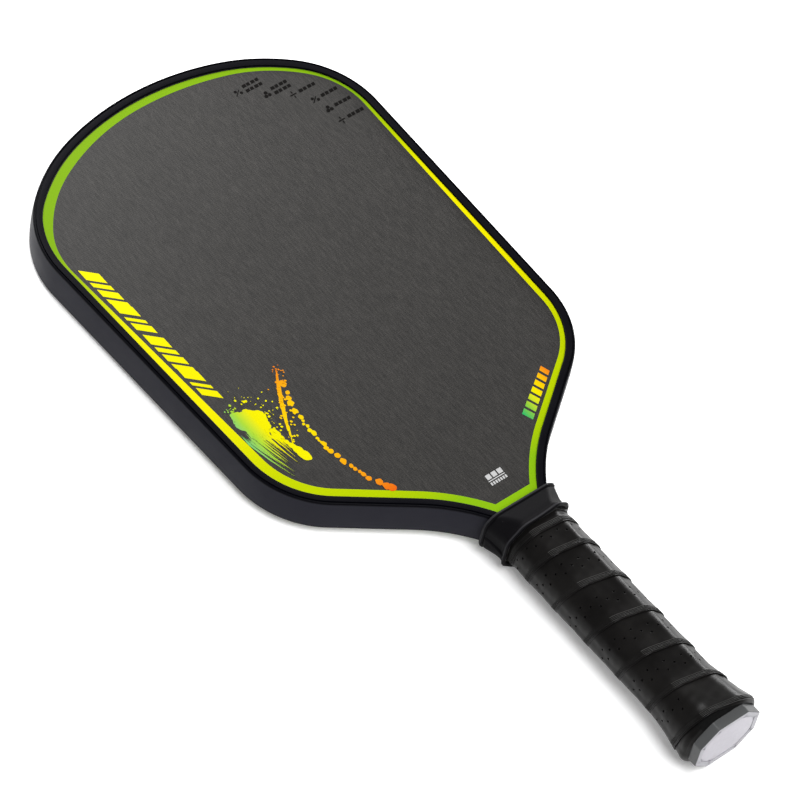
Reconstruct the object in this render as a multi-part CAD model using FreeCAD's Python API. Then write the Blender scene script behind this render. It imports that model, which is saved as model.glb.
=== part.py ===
"""Pickleball paddle: honeycomb sandwich panel, edge guard and wrapped octagonal handle.

Millimetres. The origin is the centre of the butt end face, +Y runs along the handle to the
head, +X is across the head and +Z is the outward normal of the front face.
"""

import FreeCAD, Part
import math
import os

from FreeCAD import Vector

# ---- driving dimensions: overall ----
OVERALL_LENGTH = 416.8
OVERALL_WIDTH = 186.2
PANEL_THICKNESS = 16.0
HANDLE_LENGTH = 140.0

# ---- head outline: tangent arcs of the edge guard's outer surface, from the crown down ----
CROWN_RADIUS = 139.8
CROWN_END_ANGLE = 18.0
SHOULDER_RADIUS = 94.0
SHOULDER_END_ANGLE = 40.8
SIDE_TAPER_ANGLE = 1.47
SIDE_LENGTH = 129.2
LOWER_CORNER_RADIUS = 48.0
FLANK_ANGLE = 54.7
FLANK_LENGTH = 37.7
THROAT_RADIUS = 91.9
NECK_Y = HANDLE_LENGTH - 0.2

# ---- sandwich panel ----
CARBON_PLY = 0.45
GLASS_PLY = 0.30
ADHESIVE_FILM = 0.10
CELL_ACROSS_FLATS = 8.0
CELL_WALL = 0.35
CORE_RIM = 0.6
SMALLEST_CUT_CELL = 1.0
TONGUE_HALF_WIDTH = 8.6
TONGUE_END_Y = 5.0
TONGUE_FILLET = 3.0

# ---- edge guard: a U-shaped strip round the head ----
GUARD_WALL = 1.6
GUARD_TAPE = 0.2
GUARD_LIP_WIDTH = 4.8
GUARD_LIP_THICKNESS = 1.2
GUARD_LIP_ROUND = 0.4
GUARD_WALL_CROWN = 0.35
GUARD_SHOULDER_DROP = 1.1
GUARD_SHOULDER_BULGE = 0.25
GROOVE_OUTER_INSET = 1.15
GROOVE_WIDTH = 0.6
GROOVE_DEPTH = 0.5

# ---- handle: octagon over the finished grip, other layers are given as outsets from it ----
GRIP_HALF_WIDTH = 16.5
GRIP_HALF_DEPTH = 13.5
GRIP_CHAMFER_X = 8.3
GRIP_CHAMFER_Z = 7.6
GRIP_THICKNESS = 1.7
GRIP_TOP_Y = 131.0
SHELL_TOP_Y = 136.4
SHELL_RAMP_START_Y = 131.5
SHELL_RAMP_END_HALF_DEPTH = 9.6
TONGUE_BOND = 0.2
FINISHING_TAPE = 0.2
FINISHING_TAPE_WIDTH = 4.0

# ---- butt cap, badge and staples ----
CAP_WALL = 1.2
CAP_END_WALL = 3.0
CAP_SLEEVE_END_Y = 30.0
CAP_RIM_OUTSET = 0.5
BADGE_HALF_WIDTH = 14.6
BADGE_HALF_DEPTH = 11.8
BADGE_THICKNESS = 0.9
BADGE_SINK = 0.25
STAPLE_WIRE = 0.8
STAPLE_CROWN = 9.0
STAPLE_LEG = 4.0
STAPLE_Y = 25.0

# Outset of the grip's outside at each station: it rolls in over the cap's flare at the butt.
GRIP_FLARE = [(4.4, 1.6), (5.2, 3.3), (7.0, 4.0), (9.5, 3.6), (14.0, 2.6), (20.0, 1.5), (27.0, 0.5)]

# Collar stations from the grip side to the head: y, half width, half depth.
COLLAR_STATIONS = [
    (126.4, 17.8, 14.6),
    (127.2, 18.9, 15.7),
    (128.8, 18.9, 15.5),
    (129.8, 18.2, 14.7),
    (134.5, 18.5, 13.3),
    (138.6, 19.6, 11.6),
    (139.6, 20.6, 11.8),
    (140.8, 20.8, 11.5),
    (141.5, 20.2, 10.6),
]

PANEL_INSET = GUARD_WALL + GUARD_TAPE
PANEL_HALF = PANEL_THICKNESS / 2
SKIN = CARBON_PLY + GLASS_PLY + ADHESIVE_FILM
GUARD_HALF = PANEL_HALF + GUARD_LIP_THICKNESS
PROUD = 1.0
TOLERANCE = 0.01


def sind(angle):
    return math.sin(math.radians(angle))


def cosd(angle):
    return math.cos(math.radians(angle))


def corner_radius():
    """Radius of the upper corner arc that makes the head exactly OVERALL_WIDTH wide."""
    crown = CROWN_RADIUS * sind(CROWN_END_ANGLE)
    shoulder = SHOULDER_RADIUS * (sind(SHOULDER_END_ANGLE) - sind(CROWN_END_ANGLE))
    return (OVERALL_WIDTH / 2 - crown - shoulder) / (1 - sind(SHOULDER_END_ANGLE))


class RightOutline:
    """Edges of the head's right half, walked from the crown to the neck.

    heading is the angle that the walk has turned clockwise from +X.
    """

    def __init__(self, inset, neck_y=NECK_Y):
        self.point = Vector(0, OVERALL_LENGTH - inset, 0)
        self.heading = 0.0
        self.edges = []
        self.arc(CROWN_RADIUS - inset, CROWN_END_ANGLE)
        self.arc(SHOULDER_RADIUS - inset, SHOULDER_END_ANGLE)
        self.arc(corner_radius() - inset, 90 + SIDE_TAPER_ANGLE)
        self.line(SIDE_LENGTH)
        self.arc(LOWER_CORNER_RADIUS - inset, 90 + FLANK_ANGLE)
        self.line(FLANK_LENGTH)
        self.throat(THROAT_RADIUS + inset, neck_y)

    def at(self, radius, heading):
        dx = radius * (sind(heading) - sind(self.heading))
        dy = radius * (cosd(heading) - cosd(self.heading))
        return self.point + Vector(dx, dy, 0)

    def arc(self, radius, heading):
        """A tangent arc to the given heading; a negative radius curves the other way."""
        middle = self.at(radius, (self.heading + heading) / 2)
        end = self.at(radius, heading)
        self.edges.append(Part.Arc(self.point, middle, end).toShape())
        self.point = end
        self.heading = heading

    def line(self, length):
        step = Vector(length * cosd(self.heading), -length * sind(self.heading), 0)
        end = self.point + step
        self.edges.append(Part.LineSegment(self.point, end).toShape())
        self.point = end

    def throat(self, radius, neck_y):
        """The concave throat arc, ended where it reaches neck_y."""
        drop = self.point.y - neck_y
        cosine = cosd(self.heading) + drop / radius
        self.arc(-radius, math.degrees(math.acos(cosine)))


def mirrored(edges):
    """The same edges on the left side, ordered from the neck up to the crown."""
    plane_point = Vector(0, 0, 0)
    plane_normal = Vector(1, 0, 0)
    return [edge.mirror(plane_point, plane_normal) for edge in reversed(edges)]


def polyline(points):
    return [Part.LineSegment(a, b).toShape() for a, b in zip(points, points[1:])]


def head_wire(inset):
    """Closed outline of the head, cut straight across at the neck."""
    right = RightOutline(inset)
    end = right.point
    bottom = polyline([end, Vector(-end.x, end.y, 0)])
    return Part.Wire(Part.__sortEdges__(right.edges + bottom + mirrored(right.edges)))


def panel_wire(trim=0.0):
    """Closed outline of the panel and its tongue, moved inwards by trim."""
    right = RightOutline(PANEL_INSET + trim, NECK_Y + trim)
    neck = right.point
    fillet = TONGUE_FILLET + trim
    centre = Vector(TONGUE_HALF_WIDTH + TONGUE_FILLET, NECK_Y - TONGUE_FILLET, 0)
    corner = centre + Vector(0, fillet, 0)
    middle = centre + Vector(-cosd(45), sind(45), 0) * fillet
    tangent = centre - Vector(fillet, 0, 0)
    foot = Vector(TONGUE_HALF_WIDTH - trim, TONGUE_END_Y + trim, 0)
    half = right.edges + polyline([neck, corner])
    half.append(Part.Arc(corner, middle, tangent).toShape())
    half += polyline([tangent, foot])
    bottom = polyline([foot, Vector(-foot.x, foot.y, 0)])
    return Part.Wire(Part.__sortEdges__(half + bottom + mirrored(half)))


def slab(wire, z_low, z_high):
    face = Part.Face(wire)
    face.translate(Vector(0, 0, z_low))
    return face.extrude(Vector(0, 0, z_high - z_low))


def octagon(y, half_width, half_depth, chamfer_x, chamfer_z):
    """Closed octagon in the plane at y, with its corners cut by the two chamfer legs."""
    inner_x = half_width - chamfer_x
    inner_z = half_depth - chamfer_z
    corners = [
        (half_width, inner_z),
        (inner_x, half_depth),
        (-inner_x, half_depth),
        (-half_width, inner_z),
        (-half_width, -inner_z),
        (-inner_x, -half_depth),
        (inner_x, -half_depth),
        (half_width, -inner_z),
    ]
    points = [Vector(x, y, z) for x, z in corners]
    return Part.Wire(polyline(points + points[:1]))


def handle_octagon(y, outset):
    """The grip's octagon moved outwards by outset on all eight sides."""
    slant = math.hypot(GRIP_CHAMFER_X, GRIP_CHAMFER_Z)
    growth = outset * (GRIP_CHAMFER_X + GRIP_CHAMFER_Z - slant)
    return octagon(
        y,
        GRIP_HALF_WIDTH + outset,
        GRIP_HALF_DEPTH + outset,
        GRIP_CHAMFER_X + growth / GRIP_CHAMFER_Z,
        GRIP_CHAMFER_Z + growth / GRIP_CHAMFER_X,
    )


def handle_loft(stations):
    """Solid through (y, outset) stations of the handle octagon."""
    return Part.makeLoft([handle_octagon(y, outset) for y, outset in stations], True, True)


def box(x_low, x_high, y_low, y_high, z_low, z_high):
    size = (x_high - x_low, y_high - y_low, z_high - z_low)
    return Part.makeBox(*size, Vector(x_low, y_low, z_low))


def flipped(shape):
    """The same shape on the rear side of the paddle."""
    return shape.mirror(Vector(0, 0, 0), Vector(0, 0, 1))


# ---- sandwich panel ----
def hexagon(x, y, across_flats):
    reach = across_flats / math.sqrt(3)
    points = []
    for angle in range(30, 391, 60):
        points.append(Vector(x + reach * cosd(angle), y + reach * sind(angle), 0))
    return Part.Face(Part.Wire(polyline(points)))


def cell_centres():
    """Centres of the hexagonal grid over the whole head and tongue."""
    row_pitch = CELL_ACROSS_FLATS * math.sqrt(3) / 2
    columns = int(OVERALL_WIDTH / 2 / CELL_ACROSS_FLATS) + 1
    rows = int(OVERALL_LENGTH / row_pitch) + 1
    for row in range(rows):
        shift = CELL_ACROSS_FLATS / 2 * (row % 2)
        for column in range(-columns, columns + 1):
            yield column * CELL_ACROSS_FLATS + shift, row * row_pitch


def honeycomb_core():
    """Open hexagonal cells with their axes along Z; the cells at the rim are cut by it."""
    half = PANEL_HALF - SKIN
    outline = panel_wire()
    trim = Part.Face(panel_wire(CORE_RIM))
    whole = []
    cut = []
    for x, y in cell_centres():
        centre = Vector(x, y, 0)
        to_rim = Part.Vertex(centre).distToShape(trim.OuterWire)[0]
        if to_rim < CELL_ACROSS_FLATS:
            cut.append(hexagon(x, y, CELL_ACROSS_FLATS - CELL_WALL))
        elif trim.isInside(centre, TOLERANCE, True):
            whole.append(hexagon(x, y, CELL_ACROSS_FLATS - CELL_WALL))
    at_rim = trim.common(Part.Compound(cut)).Faces
    cells = [face.OuterWire for face in whole + at_rim if face.Area > SMALLEST_CUT_CELL]
    flat = Part.Face([outline] + cells, "Part::FaceMakerBullseye")
    flat.translate(Vector(0, 0, -half))
    return flat.extrude(Vector(0, 0, 2 * half))


def panel_layers():
    """The film, glass ply and carbon ply of each side, from the core outwards."""
    outline = panel_wire()
    layers = {}
    z_low = PANEL_HALF - SKIN
    for name, thickness in (
        ("adhesive_film", ADHESIVE_FILM),
        ("glass_ply", GLASS_PLY),
        ("carbon_face", CARBON_PLY),
    ):
        layer = slab(outline, z_low, z_low + thickness)
        layers["front_" + name] = layer
        layers["rear_" + name] = flipped(layer)
        z_low += thickness
    return layers


# ---- edge guard ----
def guard_section():
    """Closed U section drawn in (inset, z): crowned wall, round shoulders, groove and lips."""
    crest = Vector(0, 0, 0)
    shoulder_low = Vector(GUARD_WALL_CROWN, GUARD_HALF - GUARD_SHOULDER_DROP, 0)
    shoulder_high = Vector(GROOVE_OUTER_INSET, GUARD_HALF, 0)
    bulge = Vector(-cosd(45), sind(45), 0) * GUARD_SHOULDER_BULGE
    shoulder_mid = (shoulder_low + shoulder_high) * 0.5 + bulge
    groove_z = GUARD_HALF - GROOVE_DEPTH
    groove_inner = GROOVE_OUTER_INSET + GROOVE_WIDTH
    round_start = Vector(GUARD_LIP_WIDTH - GUARD_LIP_ROUND, GUARD_HALF, 0)
    round_end = Vector(GUARD_LIP_WIDTH, GUARD_HALF - GUARD_LIP_ROUND, 0)
    round_centre = Vector(round_start.x, round_end.y, 0)
    round_mid = round_centre + Vector(cosd(45), sind(45), 0) * GUARD_LIP_ROUND
    pocket = Vector(GUARD_WALL, PANEL_HALF, 0)
    upper = [Part.Arc(shoulder_low, shoulder_mid, shoulder_high).toShape()]
    upper += polyline([
        shoulder_high,
        Vector(GROOVE_OUTER_INSET, groove_z, 0),
        Vector(groove_inner, groove_z, 0),
        Vector(groove_inner, GUARD_HALF, 0),
        round_start,
    ])
    upper.append(Part.Arc(round_start, round_mid, round_end).toShape())
    upper += polyline([round_end, Vector(GUARD_LIP_WIDTH, PANEL_HALF, 0), pocket])
    lower = [edge.mirror(Vector(0, 0, 0), Vector(0, 1, 0)) for edge in upper]
    wall = Part.Arc(Vector(shoulder_low.x, -shoulder_low.y, 0), crest, shoulder_low).toShape()
    pocket_wall = polyline([pocket, Vector(pocket.x, -pocket.y, 0)])
    return Part.Wire(Part.__sortEdges__(upper + pocket_wall + lower + [wall]))


def swept_round_head(section):
    """Sweep an (inset, z) section along the guard's outer outline, from neck to neck."""
    right = RightOutline(0.0)
    path = Part.Wire(Part.__sortEdges__(right.edges + mirrored(right.edges)))
    inward = Vector(-sind(right.heading), -cosd(right.heading), 0)
    along = Vector(cosd(right.heading), -sind(right.heading), 0)
    start = right.point
    frame = FreeCAD.Matrix(
        inward.x, 0, along.x, start.x,
        inward.y, 0, along.y, start.y,
        0, 1, 0, 0,
        0, 0, 0, 1,
    )
    placed = section.transformGeometry(frame)
    return path.makePipe(Part.Face(placed))


def edge_guard():
    return swept_round_head(guard_section())


def edge_guard_tape():
    """Double-sided tape between the guard's wall and the rim of the panel."""
    ring = slab(head_wire(GUARD_WALL), -PANEL_HALF, PANEL_HALF)
    ring = ring.cut(slab(head_wire(PANEL_INSET), -PANEL_HALF, PANEL_HALF))
    return ring


# ---- handle ----
def handle_shells():
    """Two moulded halves that build the octagon round the tongue."""
    outset = -GRIP_THICKNESS
    body = handle_loft([(CAP_END_WALL, outset - CAP_WALL), (CAP_SLEEVE_END_Y, outset - CAP_WALL)])
    body = body.fuse(handle_loft([(CAP_SLEEVE_END_Y, outset), (SHELL_TOP_Y, outset)]))
    slot_x = TONGUE_HALF_WIDTH
    slot_z = PANEL_HALF + TONGUE_BOND
    body = body.cut(box(-slot_x, slot_x, TONGUE_END_Y, SHELL_TOP_Y + PROUD, -slot_z, slot_z))
    top = GRIP_HALF_DEPTH + PROUD
    reach = GRIP_HALF_WIDTH + PROUD
    ramp_foot = GRIP_HALF_DEPTH - GRIP_THICKNESS
    ramp = [
        Vector(-reach, SHELL_RAMP_START_Y, ramp_foot),
        Vector(-reach, SHELL_TOP_Y, SHELL_RAMP_END_HALF_DEPTH),
        Vector(-reach, SHELL_TOP_Y + PROUD, top),
        Vector(-reach, SHELL_RAMP_START_Y, top),
    ]
    wedge = Part.Face(Part.Wire(polyline(ramp + ramp[:1]))).extrude(Vector(2 * reach, 0, 0))
    body = body.cut(wedge).cut(flipped(wedge))
    upper_half = box(-reach, reach, 0, SHELL_TOP_Y + PROUD, 0, top)
    front = body.common(upper_half)
    return {"front_handle_shell": front, "rear_handle_shell": body.common(flipped(upper_half))}


def tongue_bonds():
    """Bonding sheets between the tongue's faces and the shells."""
    front = box(
        -TONGUE_HALF_WIDTH,
        TONGUE_HALF_WIDTH,
        TONGUE_END_Y,
        SHELL_TOP_Y,
        PANEL_HALF,
        PANEL_HALF + TONGUE_BOND,
    )
    return {"front_tongue_bond": front, "rear_tongue_bond": flipped(front)}


def grip_wrap():
    """Cushioned wrap: an octagonal sleeve, flared over the butt cap."""
    outside = handle_loft(GRIP_FLARE + [(CAP_SLEEVE_END_Y + 2, 0.0), (GRIP_TOP_Y, 0.0)])
    bore = handle_loft([(CAP_SLEEVE_END_Y, -GRIP_THICKNESS), (GRIP_TOP_Y + PROUD, -GRIP_THICKNESS)])
    return outside.cut(bore).cut(cap_body())


def cap_body():
    """The cap's outside: the bare octagonal rim and the flare under the grip."""
    first_y = GRIP_FLARE[0][0]
    rim = handle_loft([(0.0, CAP_RIM_OUTSET), (first_y, CAP_RIM_OUTSET)])
    flare = [(y, outset - GRIP_THICKNESS) for y, outset in GRIP_FLARE if outset > GRIP_THICKNESS]
    stations = [(first_y, CAP_RIM_OUTSET)] + flare + [(CAP_SLEEVE_END_Y, -GRIP_THICKNESS)]
    return rim.fuse(handle_loft(stations)).removeSplitter()


def butt_cap():
    """Plastic cap with a blind octagonal socket for the shells and a sunk seat for the badge."""
    inside = -GRIP_THICKNESS - CAP_WALL
    socket = handle_loft([(CAP_END_WALL, inside), (CAP_SLEEVE_END_Y + PROUD, inside)])
    seat = badge_disc(-PROUD, BADGE_SINK + BADGE_THICKNESS)
    return cap_body().cut(socket).cut(seat).cut(Part.Compound(staple_solids()))


def badge_disc(y_low, y_high):
    ellipse = Part.Ellipse(Vector(0, 0, 0), BADGE_HALF_WIDTH, BADGE_HALF_DEPTH)
    disc = Part.Face(Part.Wire(ellipse.toShape()))
    disc.rotate(Vector(0, 0, 0), Vector(1, 0, 0), 90)
    disc.translate(Vector(0, y_low, 0))
    return disc.extrude(Vector(0, y_high - y_low, 0))


def butt_badge():
    return badge_disc(BADGE_SINK, BADGE_SINK + BADGE_THICKNESS)


def staple_solids():
    """One staple through the cap's wall into each handle shell, with its crown sunk flush."""
    top = GRIP_HALF_DEPTH - GRIP_THICKNESS
    half = STAPLE_CROWN / 2
    y_low = STAPLE_Y - STAPLE_WIRE / 2
    y_high = STAPLE_Y + STAPLE_WIRE / 2
    crown = box(-half, half, y_low, y_high, top - STAPLE_WIRE, top)
    leg = box(half - STAPLE_WIRE, half, y_low, y_high, top - STAPLE_LEG, top)
    other_leg = leg.mirror(Vector(0, 0, 0), Vector(1, 0, 0))
    staple = crown.fuse([leg, other_leg]).removeSplitter()
    return [staple, flipped(staple)]


def finishing_tape():
    """Thin tape that holds the grip's end."""
    y_low = GRIP_TOP_Y - FINISHING_TAPE_WIDTH
    outer = handle_loft([(y_low, FINISHING_TAPE), (GRIP_TOP_Y, FINISHING_TAPE)])
    return outer.cut(handle_loft([(y_low, 0.0), (GRIP_TOP_Y, 0.0)]))


def throat_collar(neighbours):
    """Rubber sleeve over the throat: beaded at both edges, moulded to what it covers."""
    wires = []
    for y, half_width, half_depth in COLLAR_STATIONS:
        squash = half_depth / GRIP_HALF_DEPTH
        chamfers = (GRIP_CHAMFER_X * squash, GRIP_CHAMFER_Z * squash)
        wires.append(octagon(y, half_width, half_depth, *chamfers))
    sleeve = Part.makeLoft(wires, True, True)
    for neighbour in neighbours:
        sleeve = sleeve.cut(neighbour)
    return max(sleeve.Solids, key=lambda solid: solid.Volume)


# ---- assembly ----
def build():
    nodes = {"honeycomb_core": honeycomb_core()}
    nodes.update(panel_layers())
    nodes["edge_guard"] = edge_guard()
    nodes["edge_guard_tape"] = edge_guard_tape()
    nodes.update(handle_shells())
    nodes.update(tongue_bonds())
    nodes["butt_cap"] = butt_cap()
    nodes["butt_badge"] = butt_badge()
    nodes["cap_staples"] = Part.Compound(staple_solids())
    for name in ("front_handle_shell", "rear_handle_shell"):
        nodes[name] = nodes[name].cut(nodes["cap_staples"])
    nodes["grip_wrap"] = grip_wrap()
    nodes["grip_finishing_tape"] = finishing_tape()
    panel = slab(panel_wire(), -PANEL_HALF, PANEL_HALF)
    covered = ["edge_guard", "edge_guard_tape", "front_handle_shell", "rear_handle_shell"]
    covered += ["front_tongue_bond", "rear_tongue_bond", "grip_wrap", "grip_finishing_tape"]
    nodes["throat_collar"] = throat_collar([panel] + [nodes[name] for name in covered])
    return nodes


def main():
    os.makedirs("parts", exist_ok=True)
    for name, shape in build().items():
        print(f"{name}: {len(shape.Solids)} solid, {shape.Volume:.1f} mm3, valid {shape.isValid()}")
        shape.exportStep(f"parts/{name}.step")


main()
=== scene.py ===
import random
from math import acos, atan2, cos, degrees, pi, radians, sin

import bpy
import numpy as np
from mathutils import Matrix, Vector


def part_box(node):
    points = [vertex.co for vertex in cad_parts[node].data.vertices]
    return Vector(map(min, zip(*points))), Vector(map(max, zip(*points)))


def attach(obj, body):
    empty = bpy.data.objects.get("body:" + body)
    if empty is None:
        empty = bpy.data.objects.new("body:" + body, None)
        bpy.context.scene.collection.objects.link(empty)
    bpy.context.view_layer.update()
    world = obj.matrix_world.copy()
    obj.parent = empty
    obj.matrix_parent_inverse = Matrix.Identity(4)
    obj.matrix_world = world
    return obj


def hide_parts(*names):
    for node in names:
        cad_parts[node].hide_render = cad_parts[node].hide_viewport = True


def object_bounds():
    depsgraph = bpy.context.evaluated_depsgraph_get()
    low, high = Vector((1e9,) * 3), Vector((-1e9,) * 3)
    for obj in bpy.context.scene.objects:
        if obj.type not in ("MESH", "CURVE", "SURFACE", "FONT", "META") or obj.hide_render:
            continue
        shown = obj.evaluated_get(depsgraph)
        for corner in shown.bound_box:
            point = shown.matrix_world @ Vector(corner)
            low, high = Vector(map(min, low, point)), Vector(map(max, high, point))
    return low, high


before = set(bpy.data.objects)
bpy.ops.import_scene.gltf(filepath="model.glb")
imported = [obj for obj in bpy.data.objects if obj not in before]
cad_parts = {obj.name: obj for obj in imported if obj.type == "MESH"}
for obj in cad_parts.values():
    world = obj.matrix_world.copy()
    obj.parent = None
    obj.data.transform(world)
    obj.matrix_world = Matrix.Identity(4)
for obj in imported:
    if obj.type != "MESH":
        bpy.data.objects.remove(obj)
cad_low, cad_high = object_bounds()

# Pickleball paddle: carbon faced head with an edge guard, a rubber collar and a wrapped handle.
# Sizes below are in millimetres; new_piece turns them into metres.
MM = 0.001
ROOT = "root"

# ---- head outline: the guard's outer surface, walked from the crown down the right side ----
# Each arc is its radius and the heading it ends at, in degrees clockwise from +X.
HEAD_TOP = cad_high.y / MM
CROWN = (139.8, 18.0)
SHOULDER = (94.0, 40.8)
UPPER_CORNER = (50.53, 91.47)
SIDE_LENGTH = 129.2
LOWER_CORNER = (48.0, 144.7)
FLANK_LENGTH = 37.7
THROAT_RADIUS = 91.9
NECK_Y = 139.8

# ---- edge guard ----
GUARD_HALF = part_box("edge_guard")[1].z / MM
FACE_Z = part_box("front_carbon_face")[1].z / MM
GUARD_WALL = 1.6
LIP_WIDTH = 4.8
LIP_ROUND = 0.45
GROOVE_INSET = 1.0
GROOVE_WIDTH = 0.75
GROOVE_DEPTH = 0.7
GROOVE_SLOPE = 0.1
WALL_CROWN = 0.3
SHOULDER_DROP = 1.0

# ---- handle ----
GRIP_HALF_WIDTH = 16.5
GRIP_HALF_DEPTH = 13.5
GRIP_CHAMFER = (8.3, 7.6)
GRIP_CORNER_RADIUS = 8.0
GRIP_THICKNESS = 1.7
GRIP_TOP_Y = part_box("grip_wrap")[1].y / MM
# How far the last turn runs on under the collar.
GRIP_END_TUCK = 0.6
RIM_Y = 4.4
# The wrap's outset over the plain octagon towards the butt: y and outset.
FLARE = [
    (RIM_Y, 1.6), (5.2, 3.3), (7.0, 4.0), (9.5, 3.6),
    (14.0, 2.6), (20.0, 1.5), (27.0, 0.5), (32.0, 0.0),
]

# ---- camera and stage ----
CAMERA_AZIMUTH = -50.877
CAMERA_ELEVATION = 52.2
CAMERA_ROLL = 14.125
CAMERA_DISTANCE = 2.2293
CAMERA_LENS = 226.79
CAMERA_AIM = Vector((0.0, 0.210, 0.0))
CAMERA_SHIFT = (0.00719, -0.00332)


# ---- mesh helpers ----
def add_object(name, data):
    obj = bpy.data.objects.new(name, data)
    bpy.context.scene.collection.objects.link(obj)
    return obj


def new_piece(name, points, faces, materials, face_slots=None, sharp_angle=None):
    """A smooth shaded mesh from points in millimetres, riding on the paddle's body."""
    mesh = bpy.data.meshes.new(name)
    mesh.from_pydata((np.asarray(points, float) * MM).tolist(), [], faces)
    for material in materials:
        mesh.materials.append(material)
    if face_slots is not None:
        mesh.polygons.foreach_set("material_index", face_slots)
    mesh.shade_smooth()
    if sharp_angle is not None:
        mesh.set_sharp_from_angle(angle=radians(sharp_angle))
    mesh.update()
    obj = add_object(name, mesh)
    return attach(obj, ROOT)


def grid_faces(rows, columns, close_rows=False, close_columns=False):
    """Quads over a row-major grid of points."""
    faces = []
    for row in range(rows if close_rows else rows - 1):
        low = row * columns
        high = (row + 1) % rows * columns
        for column in range(columns if close_columns else columns - 1):
            after = (column + 1) % columns
            faces.append((low + column, low + after, high + after, high + column))
    return faces


# ---- outlines ----
class Walk:
    """A path of tangent arcs and lines; heading turns clockwise from +X, in degrees."""

    def __init__(self, x, y):
        self.points = [(x, y)]
        self.headings = [0.0]

    def add(self, xs, ys, headings):
        self.points += list(zip(xs[1:], ys[1:]))
        self.headings += list(headings[1:])

    def arc(self, radius, heading, steps=24):
        x, y = self.points[-1]
        start = radians(self.headings[-1])
        turn = np.linspace(start, radians(heading), steps + 1)
        xs = x + radius * (np.sin(turn) - sin(start))
        ys = y + radius * (np.cos(turn) - cos(start))
        self.add(xs, ys, np.degrees(turn))

    def line(self, length, steps=12):
        x, y = self.points[-1]
        heading = self.headings[-1]
        along = np.linspace(0.0, length, steps + 1)
        xs = x + along * cos(radians(heading))
        ys = y - along * sin(radians(heading))
        self.add(xs, ys, np.full(steps + 1, heading))

    def throat(self, radius, end_y, steps=24):
        """The concave throat arc, ended where it reaches end_y."""
        drop = self.points[-1][1] - end_y
        cosine = cos(radians(self.headings[-1])) + drop / radius
        self.arc(-radius, degrees(acos(cosine)), steps)

    def arrays(self):
        """Points and inward normals."""
        turn = np.radians(self.headings)
        return np.array(self.points), np.stack([-np.sin(turn), -np.cos(turn)], 1)


def half_head(top, crown, shoulder, corner, side, lower, flank, throat, end_y):
    """Half a head outline: arcs as (radius, end heading), the straight lengths, the throat arc."""
    walk = Walk(0.0, top)
    for radius, heading in (crown, shoulder, corner):
        walk.arc(radius, heading)
    walk.line(side)
    walk.arc(*lower)
    walk.line(flank)
    walk.throat(throat, end_y)
    return walk.arrays()


def guard_half(inset, end_y):
    arcs = (CROWN, SHOULDER, UPPER_CORNER, LOWER_CORNER)
    crown, shoulder, corner, lower = ((radius - inset, heading) for radius, heading in arcs)
    lengths = (SIDE_LENGTH, lower, FLANK_LENGTH, THROAT_RADIUS + inset)
    return half_head(HEAD_TOP - inset, crown, shoulder, corner, *lengths, end_y)


def both_halves(right, left):
    """Points from the left end over the crown to the right end, the left given as a right half."""
    return np.concatenate([(left * (-1, 1))[:0:-1], right])


# ---- materials ----
# Between these values a noise texture keeps most of its surface.
NOISE_LOW = 0.3
NOISE_HIGH = 0.7
CAP_ROUGHNESS = 0.4


def new_material(name, roughness, colour=(0.5, 0.5, 0.5), **sockets):
    material = bpy.data.materials.new(name)
    material.use_nodes = True
    shader = material.node_tree.nodes["Principled BSDF"]
    shader.inputs["Base Color"].default_value = (*colour, 1.0)
    shader.inputs["Roughness"].default_value = roughness
    for socket, value in sockets.items():
        shader.inputs[socket.replace("_", " ")].default_value = value
    return material, material.node_tree


def feed(tree, socket, value):
    """Link a value into one of the surface shader's sockets."""
    tree.links.new(value, tree.nodes["Principled BSDF"].inputs[socket])


def add_node(tree, kind, **values):
    """A node with its properties and unlinked inputs set by name."""
    node = tree.nodes.new("ShaderNode" + kind)
    for name, value in values.items():
        if hasattr(node, name):
            setattr(node, name, value)
        else:
            node.inputs[name.replace("_", " ")].default_value = value
    return node


def place(tree, scale=(1.0, 1.0, 1.0), rotation=(0.0, 0.0, 0.0)):
    """Frame coordinates in metres, turned and scaled."""
    coordinates = add_node(tree, "TexCoord")
    rotation = [radians(angle) for angle in rotation]
    mapping = add_node(tree, "Mapping", Scale=scale, Rotation=rotation)
    tree.links.new(coordinates.outputs["Object"], mapping.inputs["Vector"])
    return mapping.outputs["Vector"]


def noise(tree, scale, detail=2.0, roughness=0.5, stretch=(1.0, 1.0, 1.0)):
    vector = place(tree, stretch)
    node = add_node(tree, "TexNoise", Scale=scale, Detail=detail, Roughness=roughness)
    tree.links.new(vector, node.inputs["Vector"])
    return node.outputs["Fac"]


def ramp(tree, value, stops):
    """A colour ramp over (position, colour) stops; a single number makes a grey."""
    node = add_node(tree, "ValToRGB")
    elements = node.color_ramp.elements
    while len(elements) < len(stops):
        elements.new(0.5)
    for element, (position, colour) in zip(elements, stops):
        element.position = position
        element.color = (*colour, 1.0) if isinstance(colour, tuple) else (colour,) * 3 + (1.0,)
    tree.links.new(value, node.inputs["Fac"])
    return node.outputs["Color"]


def noise_ramp(tree, value, low, high):
    """A colour between low and high over a noise's usual span."""
    return ramp(tree, value, [(NOISE_LOW, low), (NOISE_HIGH, high)])


def math_node(tree, operation, first, second):
    node = add_node(tree, "Math", operation=operation)
    for socket, value in zip(node.inputs, (first, second)):
        if isinstance(value, (int, float)):
            socket.default_value = value
        else:
            tree.links.new(value, socket)
    return node.outputs[0]


def map_range(tree, value, low, high, to_low=0.0, to_high=1.0):
    node = add_node(
        tree, "MapRange", From_Min=low, From_Max=high, To_Min=to_low, To_Max=to_high
    )
    tree.links.new(value, node.inputs["Value"])
    return node.outputs["Result"]


def vary_roughness(tree, value, low, high):
    rough = map_range(tree, value, NOISE_LOW, NOISE_HIGH, low, high)
    feed(tree, "Roughness", rough)


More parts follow.
